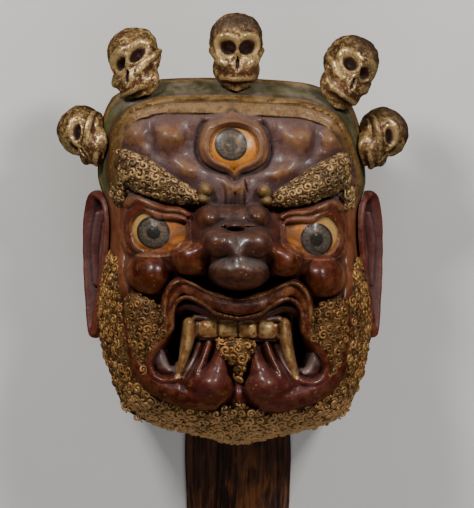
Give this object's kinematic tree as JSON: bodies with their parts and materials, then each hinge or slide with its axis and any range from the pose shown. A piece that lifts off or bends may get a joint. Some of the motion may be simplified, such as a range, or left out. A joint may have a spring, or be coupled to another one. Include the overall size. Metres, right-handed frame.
{
  "type": "tibetan cham mask",
  "caption": "Hollow carved wooden cham dance mask of a three-eyed, fanged wrathful deity with gilded curls, a crown of skulls, ears and a hair fringe.",
  "frame": {"origin": "middle of the bounding box, on the plane of the back rim that the mask lies on", "axes": "+Z out of the face, +Y towards the crown of skulls, +X to the right of someone looking at the face"},
  "size_m": [0.3618, 0.678, 0.2418],
  "materials": {
    "lacquered_wood": "worn red-brown lacquer, satin",
    "gilded_wood": "worn gilding, cracked, satin",
    "dyed_hair": "matt dark red-brown hair"
  },
  "bodies": {
    "root": {"mask_shell": "lacquered_wood", "skull_center": "gilded_wood", "skull_upper_left": "gilded_wood", "skull_upper_right": "gilded_wood", "skull_lower_left": "gilded_wood", "skull_lower_right": "gilded_wood", "ear_left": "lacquered_wood", "ear_right": "lacquered_wood", "hair_fringe": "dyed_hair"}
  },
  "joints": []
}
